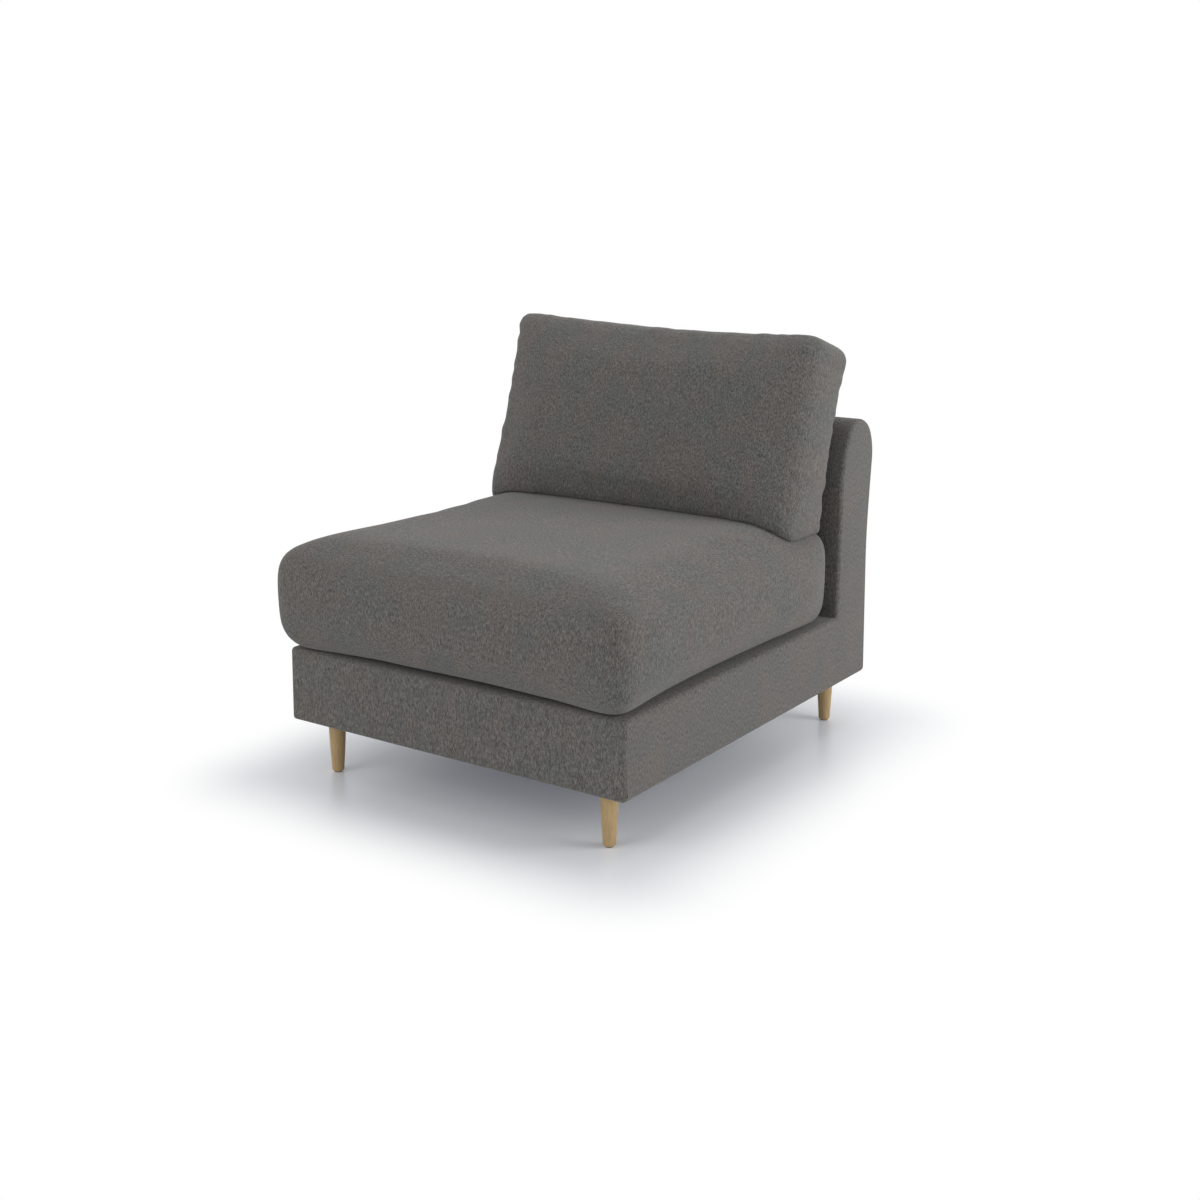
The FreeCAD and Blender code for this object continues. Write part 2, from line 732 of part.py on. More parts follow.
def shrunk_levels(levels, inset, low, high):
    """The same levels inside a cover: drawn in, and pressed together between two heights."""
    bottom, top = levels[0][0], levels[-1][0]
    scale = (high - low) / (top - bottom)
    return [(low + scale * (height - bottom), inset + draw) for height, draw in levels]


def values(*names):
    return [S[name].value for name in names]


def seat_form(name, inset, levels):
    levels = shrunk_levels(levels, inset, S["seat_bottom"].value + inset, S["seat_top"].value - inset)
    sizes = values("seat_half_width", "seat_front", "seat_rear", "seat_corner", "seat_hollow")
    return stacked_cushion(name, levels, *sizes, True)


def back_form(name, inset, levels):
    """The back cushion is built lying flat on its rear face, and is then tipped up and leant back."""
    levels = shrunk_levels(levels, inset, inset - S["back_rear_depth"].value, S["back_front_depth"].value - inset)
    half, height, corner, hollow = values("back_half_width", "back_half_height", "back_corner", "back_hollow")
    flat = stacked_cushion(name, levels, half, height, height, corner, hollow, False)
    return leant(f"{name}_leant", flat)


def leant(name, feature):
    """Tip up a piece of the back cushion from where it was made, about the middle of the cushion."""
    holder = group(name, [feature])
    holder.Placement.Rotation = FreeCAD.Rotation(FreeCAD.Vector(1, 0, 0), 90 - S["recline"].value)
    return place(holder, 0, S["back_centre_y"], S["back_centre_z"])


ZIP_WIDTH = 24
ZIP_TAPE = 1.6
ZIP_PROUD = 0.6
ZIP_GAP = 0.5
SLIDER_HALF = 7
SLIDER_THICKNESS = 3
EASE = 0.6


def zip_slider(name, x, low, high):
    """A slider as a small shield, wide where it takes the two rows of teeth and narrow where it leaves them."""
    outline = [
        (x - SLIDER_HALF, -2.5),
        (x - 2, -3),
        (x + SLIDER_HALF - 2, -5),
        (x + SLIDER_HALF, -3.5),
        (x + SLIDER_HALF, 3.5),
        (x + SLIDER_HALF - 2, 5),
        (x - 2, 3),
        (x - SLIDER_HALF, 2.5),
    ]
    return padded_prism(name, outline, low, high, "XY_Plane")


def make_foam_core():
    """The foam block inside the seat cushion's fibre wrap."""
    inset = SEAT_LEVELS[0][1] + CORE_INSET
    half, front, rear = (S[name] - inset for name in ("seat_half_width", "seat_front", "seat_rear"))
    corner = S["seat_corner"]
    outline = [
        (-half, -front + corner),
        (-half, rear - corner, corner, 1),
        (-half + corner, rear),
        (half - corner, rear, corner, 1),
        (half, rear - corner),
        (half, -front + corner, corner, 1),
        (half - corner, -front),
        (-half + corner, -front, corner, 1),
    ]
    levels = S["seat_bottom"] + CORE_INSET, S["seat_top"] - CORE_INSET - 8
    return padded_prism("seat_foam_core", outline, *levels, "XY_Plane")


def make_seat_cushion():
    outer = seat_form("seat_outside", 0, SEAT_LEVELS)
    inner = seat_form("seat_inside", SKIN.value, SEAT_LEVELS)
    core = make_foam_core()
    half, rear = S["seat_zip_half_length"], S["seat_rear"]
    zip_middle = (S["seat_bottom"] + S["seat_top"]) / 2
    span = (zip_middle - ZIP_WIDTH / 2, zip_middle + ZIP_WIDTH / 2)
    tape = box("seat_zip_tape", (-half, half), (rear - ZIP_TAPE, rear + ZIP_PROUD), span)
    node("seat_cushion_cover", cut("seat_cushion_cover", cut("seat_shell", outer, inner), tape))
    node("seat_fibre_wrap", cut("seat_fibre_wrap", inner, core))
    node("seat_foam_core", core)
    node("seat_zip_tape", tape)
    slider = zip_slider("seat_slider_flat", -half + 2 * SLIDER_HALF, 0, SLIDER_THICKNESS)
    holder = group("seat_zip_slider", [slider])
    holder.Placement.Rotation = FreeCAD.Rotation(FreeCAD.Vector(1, 0, 0), 90)
    place(holder, 0, rear + ZIP_PROUD + ZIP_GAP + SLIDER_THICKNESS, zip_middle)
    node("seat_zip_slider", holder)


def make_back_cushion():
    """The back cushion, cut flat where it stands on the seat cushion."""
    rest = S["seat_top"] + EASE
    wide, deep = (-SIDE, SIDE), (0, REAR)
    outer = back_form("back_outside", 0, BACK_LEVELS)
    cushion = cut("back_cushion_form", outer, box("rest_cut", wide, deep, (DECK, rest)))
    inner = back_form("back_inside", SKIN.value, BACK_LEVELS)
    fill = cut("back_fill", inner, box("fill_rest_cut", wide, deep, (DECK, rest + SKIN)))
    half, face = S["back_zip_half_length"], -S["back_rear_depth"]
    across = (-S["back_half_height"] + 86, -S["back_half_height"] + 86 + ZIP_WIDTH)
    tape = leant("back_zip_tape", box("back_tape_flat", (-half, half), across, (face, face + ZIP_TAPE + ZIP_PROUD)))
    shell = cut("back_shell", cushion, fill)
    node("back_cushion_cover", cut("back_cushion_cover", shell, tape))
    node("back_cushion_fill", cut("back_cushion_fill", fill, tape))
    node("back_zip_tape", tape)
    slider = zip_slider("back_slider_flat", -half + 2 * SLIDER_HALF, 0, SLIDER_THICKNESS)
    holder = group("back_slider_raised", [slider])
    place(holder, 0, (across[0] + across[1]) / 2, face - ZIP_GAP - SLIDER_THICKNESS)
    node("back_zip_slider", leant("back_zip_slider", holder))


def check_everything():
    """Stop if anything in the document failed, or if a piece has no valid shape."""
    for thing in document.Objects:
        if "Invalid" in thing.State or "Error" in thing.State:
            raise RuntimeError(f"{thing.Label} is {thing.State}")
    for label, piece in NODES.items():
        if piece.Shape.isNull() or not piece.Shape.isValid() or not piece.Shape.Solids:
            raise RuntimeError(f"{label} has no valid solid")


def main():
    make_sides()
    make_middle_covers_and_wadding()
    make_rails()
    make_legs()
    make_leg_fixings()
    make_suspension()
    make_back_suspension()
    make_back_foam()
    make_seat_cushion()
    make_back_cushion()
    document.recompute()
    check_everything()
    os.makedirs("parts", exist_ok=True)
    for label, piece in NODES.items():
        piece.Shape.exportStep(f"parts/{label}.step")
    print(len(NODES), "pieces")


main()
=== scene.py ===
import json
import math

import bmesh
import bpy
import numpy as np
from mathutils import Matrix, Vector, noise
from mathutils.bvhtree import BVHTree


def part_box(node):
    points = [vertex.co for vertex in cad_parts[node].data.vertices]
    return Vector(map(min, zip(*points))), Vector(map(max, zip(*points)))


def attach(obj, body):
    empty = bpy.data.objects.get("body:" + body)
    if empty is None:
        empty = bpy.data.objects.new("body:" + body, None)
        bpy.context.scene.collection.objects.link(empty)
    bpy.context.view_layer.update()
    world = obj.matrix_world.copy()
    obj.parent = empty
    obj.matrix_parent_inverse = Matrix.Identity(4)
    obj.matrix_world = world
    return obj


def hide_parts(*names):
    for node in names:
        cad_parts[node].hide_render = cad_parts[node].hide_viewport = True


# Armless sofa in metres: +Z up, the front towards -Y, standing on the floor at z = 0

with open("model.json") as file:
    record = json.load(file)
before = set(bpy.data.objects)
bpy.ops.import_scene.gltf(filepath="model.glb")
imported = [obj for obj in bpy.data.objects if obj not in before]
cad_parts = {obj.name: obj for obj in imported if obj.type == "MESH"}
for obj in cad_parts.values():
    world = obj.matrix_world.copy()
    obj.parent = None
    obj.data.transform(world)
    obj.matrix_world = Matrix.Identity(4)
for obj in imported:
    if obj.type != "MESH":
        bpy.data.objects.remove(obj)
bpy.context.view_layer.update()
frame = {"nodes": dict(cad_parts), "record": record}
SCENE = bpy.context.scene
MM = 0.001


# Materials

UPRIGHT_BELOW = 0.55
LEVEL_ABOVE = 0.85
PATCHES = (13, 13, 11)
UPRIGHT_FLECKS = (430, 430, 150)
LEVEL_FLECKS = (430, 150, 430)
SPECKS = (900, 900, 700)
LEG_GRAIN = (70, 70, 5)
PLYWOOD_GRAIN = (12, 60, 60)
RAIL_GRAIN = (4, 60, 60)
FINER_GRAIN = 8
METAL_WEAR = (160, 160, 160)
FOAM_CELLS = (700, 700, 700)


def new_material(name, slot_colour, roughness, specular=0.3):
    """A principled material with its plain values set on the shader's own sockets."""
    material = bpy.data.materials.new(name)
    material.use_nodes = True
    shader = material.node_tree.nodes["Principled BSDF"]
    shader.inputs["Base Color"].default_value = (*slot_colour, 1)
    shader.inputs["Roughness"].default_value = roughness
    shader.inputs["Specular IOR Level"].default_value = specular
    material.diffuse_color = (*slot_colour, 1)
    return material, shader


class Nodes:
    """Short calls for the nodes of one material."""

    def __init__(self, material):
        self.tree = material.node_tree
        self.coordinates = self.add("ShaderNodeTexCoord")

    def add(self, kind, **settings):
        made = self.tree.nodes.new(kind)
        for name, value in settings.items():
            setattr(made, name, value)
        return made

    def link(self, source, target):
        self.tree.links.new(source, target)

    def scaled(self, scale):
        mapping = self.add("ShaderNodeMapping")
        mapping.inputs["Scale"].default_value = scale
        self.link(self.coordinates.outputs["Object"], mapping.inputs["Vector"])
        return mapping.outputs["Vector"]

    def noise(self, scale, detail=2.0, roughness=0.5, distortion=0.0):
        """Noise that repeats scale times in a metre along each axis."""
        made = self.add("ShaderNodeTexNoise")
        made.inputs["Scale"].default_value = 1.0
        made.inputs["Detail"].default_value = detail
        made.inputs["Roughness"].default_value = roughness
        made.inputs["Distortion"].default_value = distortion
        self.link(self.scaled(scale), made.inputs["Vector"])
        return made.outputs["Fac"]

    def ramp(self, source, stops):
        made = self.add("ShaderNodeValToRGB")
        elements = made.color_ramp.elements
        for index, (place, colour) in enumerate(stops):
            element = elements[index] if index < 2 else elements.new(place)
            element.position = place
            element.color = (*colour, 1)
        self.link(source, made.inputs["Fac"])
        return made.outputs["Color"]

    def mix(self, kind, share, first, second):
        """Two colours mixed, where share, first and second are numbers, colours or sockets."""
        made = self.add("ShaderNodeMix", data_type="RGBA", blend_type=kind)
        factor, upper, lower = made.inputs["Factor"], made.inputs[6], made.inputs[7]
        for socket, value in ((factor, share), (upper, first), (lower, second)):
            if isinstance(value, (int, float)):
                socket.default_value = value
            elif isinstance(value, tuple):
                socket.default_value = (*value, 1)
            else:
                self.link(value, socket)
        return made.outputs[2]

    def math(self, kind, first, second=0.0):
        """An operation on one or two numbers or sockets."""
        made = self.add("ShaderNodeMath", operation=kind)
        for socket, value in zip(made.inputs, (first, second)):
            if isinstance(value, (int, float)):
                socket.default_value = value
            else:
                self.link(value, socket)
        return made.outputs[0]

    def facing_up(self):
        """1 where the surface faces up or down, 0 where it stands upright."""
        parts = self.add("ShaderNodeSeparateXYZ")
        self.link(self.coordinates.outputs["Normal"], parts.inputs[0])
        lean = self.math("ABSOLUTE", parts.outputs["Z"])
        ramp = self.add("ShaderNodeMapRange", interpolation_type="SMOOTHSTEP")
        ramp.inputs["From Min"].default_value = UPRIGHT_BELOW
        ramp.inputs["From Max"].default_value = LEVEL_ABOVE
        self.link(lean, ramp.inputs["Value"])
        return ramp.outputs["Result"]

    def bump(self, shader, height, distance, strength):
        made = self.add("ShaderNodeBump")
        made.inputs["Distance"].default_value = distance
        made.inputs["Strength"].default_value = strength
        self.link(height, made.inputs["Height"])
        self.link(made.outputs["Normal"], shader.inputs["Normal"])


def srgb(red, green, blue):
    """A linear colour from 0 to 255 values as a screen shows them."""
    shares = [value / 255 for value in (red, green, blue)]
    return tuple(s / 12.92 if s <= 0.04045 else ((s + 0.055) / 1.055) ** 2.4 for s in shares)


def grey(value):
    """A neutral share that a colour is multiplied by."""
    return (value, value, value)


def melange_cloth(name, warm, cool):
    """Heathered upholstery cloth: warm and cool patches, and flecks drawn out along the warp."""
    middle = tuple((a + b) / 2 for a, b in zip(warm, cool))
    material, shader = new_material(name, middle, 0.92, 0.2)
    nodes = Nodes(material)
    up = nodes.facing_up()
    patches = nodes.noise(PATCHES, 2.5, 0.55)
    hue = nodes.ramp(patches, [(0.38, cool), (0.62, warm)])
    upright_flecks = nodes.noise(UPRIGHT_FLECKS, 2.0, 0.7)
    level_flecks = nodes.noise(LEVEL_FLECKS, 2.0, 0.7)
    flecks = nodes.mix("MIX", up, upright_flecks, level_flecks)
    light = nodes.ramp(flecks, [(0.30, grey(0.52)), (0.5, grey(0.97)), (0.72, grey(1.62))])
    speckle = nodes.ramp(nodes.noise(SPECKS, 1.0), [(0.32, grey(0.78)), (0.68, grey(1.22))])
    colour = nodes.mix("MULTIPLY", 1.0, hue, light)
    colour = nodes.mix("MULTIPLY", 1.0, colour, speckle)
    nodes.link(colour, shader.inputs["Base Color"])
    shader.inputs["Sheen Weight"].default_value = 0.15
    shader.inputs["Sheen Roughness"].default_value = 0.5
    nodes.bump(shader, flecks, 0.0006, 0.35)
    return material


def plain_cloth(name, colour, fine=900):
    """A plain weave or a non-woven sheet."""
    material, shader = new_material(name, colour, 0.95, 0.15)
    nodes = Nodes(material)
    threads = nodes.noise((fine, fine, fine), 1.0)
    shade = nodes.ramp(threads, [(0.3, grey(0.82)), (0.7, grey(1.15))])
    nodes.link(nodes.mix("MULTIPLY", 1.0, colour, shade), shader.inputs["Base Color"])
    nodes.bump(shader, threads, 0.0004, 0.3)
    return material


def timber(name, dark, light, grain, roughness):
    """Straight-grained wood, its grain along the axis with the smallest scale."""
    material, shader = new_material(name, light, roughness, 0.4)
    nodes = Nodes(material)
    wide = nodes.noise(grain, 3.0, 0.6, 0.6)
    fine = nodes.noise(tuple(FINER_GRAIN * scale for scale in grain), 2.0, 0.6)
    colour = nodes.ramp(wide, [(0.3, dark), (0.7, light)])
    pores = nodes.ramp(fine, [(0.35, grey(0.86)), (0.55, grey(1.03))])
    nodes.link(nodes.mix("MULTIPLY", 1.0, colour, pores), shader.inputs["Base Color"])
    nodes.bump(shader, fine, 0.0002, 0.15)
    return material


def metal(name, colour, roughness):
    """Metal with slight wear."""
    material, shader = new_material(name, colour, roughness, 0.5)
    shader.inputs["Metallic"].default_value = 1.0
    nodes = Nodes(material)
    wear = nodes.noise(METAL_WEAR, 2.0)
    shade = nodes.ramp(wear, [(0.3, grey(0.85)), (0.7, grey(1.1))])
    nodes.link(nodes.mix("MULTIPLY", 1.0, colour, shade), shader.inputs["Base Color"])
    return material


def foam(name, colour):
    """Open cells, or the matted fibres of a wadding."""
    material, shader = new_material(name, colour, 0.95, 0.1)
    nodes = Nodes(material)
    cells = nodes.noise(FOAM_CELLS, 1.0)
    shade = nodes.ramp(cells, [(0.35, grey(0.8)), (0.6, grey(1.05))])
    nodes.link(nodes.mix("MULTIPLY", 1.0, colour, shade), shader.inputs["Base Color"])
    nodes.bump(shader, cells, 0.0006, 0.4)
    return material


BASE_CLOTH = melange_cloth("base_cloth", srgb(106, 101, 97), srgb(101, 100, 98))
CUSHION_CLOTH = melange_cloth("cushion_cloth", srgb(105, 100, 96), srgb(99, 99, 96))
SLOT_MATERIALS = {
    "base_cloth": BASE_CLOTH,
    "cushion_cloth": CUSHION_CLOTH,
    "deck_cloth": BASE_CLOTH,
    "dust_cloth": plain_cloth("dust_cloth", srgb(46, 46, 47), 1400),
    "wadding": foam("wadding", srgb(226, 224, 218)),
    "foam": foam("foam", srgb(224, 216, 190)),
    "fibre": foam("fibre", srgb(232, 230, 226)),
    "webbing": plain_cloth("webbing", srgb(150, 128, 96), 600),
    "plywood": timber("plywood", srgb(176, 146, 104), srgb(206, 178, 136), PLYWOOD_GRAIN, 0.7),
    "softwood": timber("softwood", srgb(196, 164, 118), srgb(222, 194, 150), RAIL_GRAIN, 0.7),
    "leg_oak": timber("leg_oak", srgb(178, 150, 106), srgb(200, 171, 125), LEG_GRAIN, 0.5),
    "spring_steel": metal("spring_steel", srgb(92, 92, 94), 0.4),
    "plated_steel": metal("plated_steel", srgb(176, 176, 172), 0.35),
    "zip_tape": plain_cloth("zip_tape", srgb(78, 76, 74), 1200),
    "zip_metal": metal("zip_metal", srgb(84, 82, 79), 0.4),
    "glide_plastic": new_material("glide_plastic", srgb(40, 40, 40), 0.6)[0],
}


def dress_cad_nodes():
    """Every CAD node that shows takes the procedural material of its slot."""
    for part in frame["record"]["subparts"]:
        node = frame["nodes"][part["node"]]
        material = SLOT_MATERIALS[part["material_slot"]]
        node.data.materials.clear()
        node.data.materials.append(material)


# Meshes

WELD = 1e-5
CLOTH_FRAMES = 20
CLOTH_QUALITY = 4
CLOTH_MASS = 0.3
CLOTH_TENSION = 25
CLOTH_SHEAR = 12
CLOTH_BENDING = 60
CLOTH_PRESSURE = 1.5
SMOOTHING = 0.5


def add_object(name, mesh, material, body):
    """A smooth-shaded piece that rides on a body."""
    made = bpy.data.objects.new(name, mesh)
    SCENE.collection.objects.link(made)
    mesh.materials.clear()
    mesh.materials.append(material)
    mesh.polygons.foreach_set("use_smooth", [True] * len(mesh.polygons))
    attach(made, body)
    return made


def outer_shell(node):
    """A copy of a CAD cover's outside, without the surface that lines it."""
    work = bmesh.new()
    work.from_mesh(frame["nodes"][node].data)
    bmesh.ops.remove_doubles(work, verts=work.verts, dist=WELD)
    islands, unseen = [], set(work.verts)
    while unseen:
        island, queue = set(), [unseen.pop()]
        while queue:
            vertex = queue.pop()
            island.add(vertex)
            for edge in vertex.link_edges:
                other = edge.other_vert(vertex)
                if other in unseen:
                    unseen.discard(other)
                    queue.append(other)
        islands.append(island)
    widest = max(islands, key=lambda island: max(v.co.x for v in island) - min(v.co.x for v in island))
    bmesh.ops.delete(work, geom=[v for v in work.verts if v not in widest], context="VERTS")
    mesh = bpy.data.meshes.new(node + "_shell")
    work.to_mesh(mesh)
    work.free()
    return mesh


def edit_mesh(mesh, change):
    """Move every vertex by a function of its place and normal."""
    count = len(mesh.vertices)
    places, normals = np.empty(count * 3), np.empty(count * 3)
    mesh.vertices.foreach_get("co", places)
    mesh.vertices.foreach_get("normal", normals)
    moved = change(places.reshape(-1, 3), normals.reshape(-1, 3))
    mesh.vertices.foreach_set("co", np.asarray(moved).ravel())
    mesh.update()


def applied(work):
    """The mesh of an object with its modifiers applied."""
    graph = bpy.context.evaluated_depsgraph_get()
    mesh = bpy.data.meshes.new_from_object(work.evaluated_get(graph))
    work.modifiers.clear()
    return mesh


def voxel_remeshed(work, voxel):
    remesh = work.modifiers.new("remesh", "REMESH")
    remesh.mode = "VOXEL"
    remesh.voxel_size = voxel
    work.data = applied(work)


def places_of(mesh):
    places = np.empty(len(mesh.vertices) * 3)
    mesh.vertices.foreach_get("co", places)
    return places.reshape(-1, 3)


def inflate(work, cap):
    """Blow a closed cloth shell up for a few frames, with a limit on how far any point goes."""
    start = places_of(work.data)
    cloth = work.modifiers.new("cloth", "CLOTH")
    settings = cloth.settings
    settings.quality = CLOTH_QUALITY
    settings.mass = CLOTH_MASS
    settings.tension_stiffness = settings.compression_stiffness = CLOTH_TENSION
    settings.shear_stiffness = CLOTH_SHEAR
    settings.bending_stiffness = CLOTH_BENDING
    settings.use_pressure = True
    settings.uniform_pressure_force = CLOTH_PRESSURE
    settings.effector_weights.gravity = 0
    cloth.point_cache.frame_start = 1
    cloth.point_cache.frame_end = CLOTH_FRAMES
    for step in range(1, CLOTH_FRAMES + 1):
        SCENE.frame_set(step)
    mesh = applied(work)
    end = places_of(mesh)
    SCENE.frame_set(1)
    move = end - start
    length = np.linalg.norm(move, axis=1, keepdims=True)
    move *= np.minimum(1, cap / np.maximum(length, 1e-9))
    mesh.vertices.foreach_set("co", (start + move).ravel())
    mesh.update()
    work.data = mesh


def smoothed(work, times):
    smooth = work.modifiers.new("smooth", "SMOOTH")
    smooth.factor = SMOOTHING
    smooth.iterations = times
    work.data = applied(work)


def subdivided(work):
    subdivision = work.modifiers.new("subdivision", "SUBSURF")
    subdivision.levels = subdivision.render_levels = 1
    work.data = applied(work)


# Seat and back cushions

REAR_LEAN = math.radians(18)
BACK_MIDDLE = Vector((0, 0.280, 0.640))
SEAT_LOW, SEAT_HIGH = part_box("seat_cushion_cover")
BACK_LOW, BACK_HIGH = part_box("back_cushion_cover")
SEAT_VOXEL, SEAT_SWELL = 0.010, 0.007
BACK_VOXEL, BACK_SWELL = 0.008, 0.008
SMOOTH_BEFORE = 3
SMOOTH_AFTER = 12

# Where the back cushion stands on the seat cushion
SINK_REACH = 0.09
SAG = 9 * MM
REST_GAP = 1.2 * MM

# Seat cushion: rear corners drawn in and sunk, more on the right
SEAT_WAVE_LENGTH = 0.16
SEAT_WAVE = 1.2 * MM
REAR_ROUND_FROM = 0.12
REAR_DRAW = 27 * MM
REAR_SHARPNESS = 8
SINK_FROM, SINK_TO = 0.04, 0.24
CORNER_SINK = 18 * MM
SINK_TILT = 0.5
SINK_SHARPNESS = 5

# Back cushion: top raised more on the left, with an ear at each end
TOP_RISE = 9 * MM
TOP_TILT = 0.8
EAR_RISE = 5 * MM
EAR_OUT = 5 * MM
EAR_FROM, EAR_OVER = 0.84, 0.1
EAR_SHARPNESS = 6
BACK_WAVE_LENGTH = 0.14
BACK_WAVE = 1.5 * MM

# Back cushion: a groove along each seam, and puckers beside it
FRONT_SEAM = -82 * MM
REAR_SEAM = 66 * MM
SEAM_DEPTH = 1.6 * MM
SEAM_HALF = 2.6 * MM
PUCKER = 5 * MM
PUCKER_PITCH = 0.024
PUCKER_REACH = 0.024
PUCKER_FROM, PUCKER_OVER = -0.95, 0.25

# Zip tapes
TAPE_REACH = 28 * MM
TAPE_PROUD = 0.9 * MM


def sunk_onto(places, under):
    """Let the low part of a cushion follow the top of the cushion that it stands on."""
    tree = BVHTree.FromObject(under, bpy.context.evaluated_depsgraph_get())
    start = BACK_LOW.z + SINK_REACH
    for place in places:
        if place[2] > start:
            continue
        hit = tree.ray_cast(Vector((place[0], place[1], start)), Vector((0, 0, -1)))[0]
        rest = (hit.z if hit else SEAT_HIGH.z) + REST_GAP
        share = min((start - place[2]) / SINK_REACH, 1)
        place[2] = max(place[2] + (rest - BACK_LOW.z) * share ** 2 - SAG * share ** 4, rest)
    return places


def soft_shell(name, node, voxel, cap):
    """The outside of a CAD cushion as blown-up cloth."""
    work = bpy.data.objects.new(name + "_work", outer_shell(node))
    SCENE.collection.objects.link(work)
    voxel_remeshed(work, voxel)
    smoothed(work, SMOOTH_BEFORE)
    inflate(work, cap)
    smoothed(work, SMOOTH_AFTER)
    subdivided(work)
    mesh = work.data
    bpy.data.objects.remove(work)
    mesh.name = name
    return mesh


def waves(places, size, seed):
    """Smooth noise from -1 to 1 at each place, repeating after about size metres."""
    offset = Vector((seed, seed * 0.7, -seed))
    return np.array([noise.noise(Vector(place) / size + offset) for place in places])


def seated_under(tape, places, normals, up, rearward):
    """Lay the face that carries a zip tape just under the tape's outer face."""
    edges = places_of(frame["nodes"][tape].data)
    heights, depths = edges @ up, edges @ rearward
    low, high, half_width = heights.min(), heights.max(), edges[:, 0].max()
    low_depth = depths[heights < low + 1 * MM].max()
    high_depth = depths[heights > high - 1 * MM].max()
    height, depth = places @ up, places @ rearward
    target = low_depth + (height - low) / (high - low) * (high_depth - low_depth) - TAPE_PROUD
    above = np.maximum(np.maximum(height - high, low - height), 0)
    beside = np.maximum(np.abs(places[:, 0]) - half_width, 0)
    weight = np.exp(-(above ** 2 + beside ** 2) / TAPE_REACH ** 2)
    facing = np.clip((normals @ rearward - 0.3) / 0.4, 0, 1)
    return places + ((target - depth) * weight * facing)[:, None] * rearward


def make_seat_cushion():
    """The loose seat cushion as one blown-up cover."""
    mesh = soft_shell("seat_cushion", "seat_cushion_cover", SEAT_VOXEL, SEAT_SWELL)
    tape_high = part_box("seat_zip_tape")[1]

    def settle(places, normals):
        """Draw in and sink the rear corners, and press the underside and the zip's face flat."""
        places = places + normals * (waves(places, SEAT_WAVE_LENGTH, 3.0) * SEAT_WAVE)[:, None]
        rearward = np.clip((places[:, 1] - REAR_ROUND_FROM) / (SEAT_HIGH.y - REAR_ROUND_FROM), 0, 1) ** 2
        sideward = np.clip(np.abs(places[:, 0]) / SEAT_HIGH.x, 0, 1)
        draw = REAR_DRAW * rearward * sideward ** REAR_SHARPNESS
        places[:, 0] -= np.sign(places[:, 0]) * draw
        places[:, 1] -= draw
        under_back = np.clip((places[:, 1] - SINK_FROM) / (SINK_TO - SINK_FROM), 0, 1)
        upper = np.clip((places[:, 2] - SEAT_LOW.z) / (SEAT_HIGH.z - SEAT_LOW.z), 0, 1) ** 2
        sink = CORNER_SINK * (1 + SINK_TILT * places[:, 0] / SEAT_HIGH.x) * sideward ** SINK_SHARPNESS
        places[:, 2] -= sink * under_back ** 2 * (3 - 2 * under_back) * upper
        places[:, 2] = np.maximum(places[:, 2], SEAT_LOW.z)
        places[:, 1] = np.minimum(places[:, 1], tape_high.y - TAPE_PROUD)
        return seated_under("seat_zip_tape", places, normals, np.array((0, 0, 1)), np.array((0, 1, 0)))

    edit_mesh(mesh, settle)
    seat = add_object("seat_cushion", mesh, CUSHION_CLOTH, "seat_cushion")
    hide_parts("seat_cushion_cover", "seat_fibre_wrap", "seat_foam_core")
    return seat


def make_back_cushion(seat):
    """The loose back cushion as one blown-up cover that leans on the back and stands on the seat."""
    mesh = soft_shell("back_cushion", "back_cushion_cover", BACK_VOXEL, BACK_SWELL)
    up = Vector((0, math.sin(REAR_LEAN), math.cos(REAR_LEAN)))
    rearward = Vector((0, math.cos(REAR_LEAN), -math.sin(REAR_LEAN)))
    half_height = (BACK_HIGH.z - BACK_LOW.z) / 2
    half_width = BACK_HIGH.x

    def settle(places, normals):
        """Shape the top and the seams, then let the underside and the zip's face settle."""
        local = places - np.array(BACK_MIDDLE)
        height = np.clip(local @ np.array(up) / half_height, -1, 1)
        ear = np.clip(np.abs(local[:, 0]) / half_width, 0, 1) ** EAR_SHARPNESS
        lift = TOP_RISE * (1 - TOP_TILT * local[:, 0] / half_width)
        rise = lift * (height * 0.5 + 0.5) ** 2 + EAR_RISE * ear * np.clip(height, 0, 1) ** 4
        depth = local @ np.array(rearward)
        seam = np.minimum(np.abs(depth - FRONT_SEAM), np.abs(depth - REAR_SEAM))
        edge = 1 - np.abs(normals @ np.array(rearward)) ** 3
        flat = np.stack([local[:, 0], height * half_height, np.zeros(len(local))], axis=1)
        pucker = PUCKER * np.clip((height - PUCKER_FROM) / PUCKER_OVER, 0, 1)
        ripple = waves(flat, PUCKER_PITCH, 5.0) * pucker * np.exp(-((seam / PUCKER_REACH) ** 2))
        groove = -SEAM_DEPTH * np.exp(-((seam / SEAM_HALF) ** 2))
        swell = waves(places, BACK_WAVE_LENGTH, 11.0) * BACK_WAVE
        out = np.sign(local[:, 0]) * EAR_OUT * ear * np.clip((height - EAR_FROM) / EAR_OVER, 0, 1)
        along_normal = (ripple + groove) * edge + swell
        places = places + normals * along_normal[:, None] + rise[:, None] * np.array(up)
        places[:, 0] += out
        places = sunk_onto(places, seat)
        return seated_under("back_zip_tape", places, normals, np.array(up), np.array(rearward))

    edit_mesh(mesh, settle)
    back = add_object("back_cushion", mesh, CUSHION_CLOTH, "back_cushion")
    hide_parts("back_cushion_cover", "back_cushion_fill")
    return back


# Upholstered base

BASE_LOW, BASE_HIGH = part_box("side_cover_right")
SIDE = BASE_HIGH.x
SOFT_EDGE = 0.009
EDGE_STEPS = 6
OUTLINE_STEP = 0.014
EDGE_MARGIN = 0.012
MIDDLE_STATIONS = 30


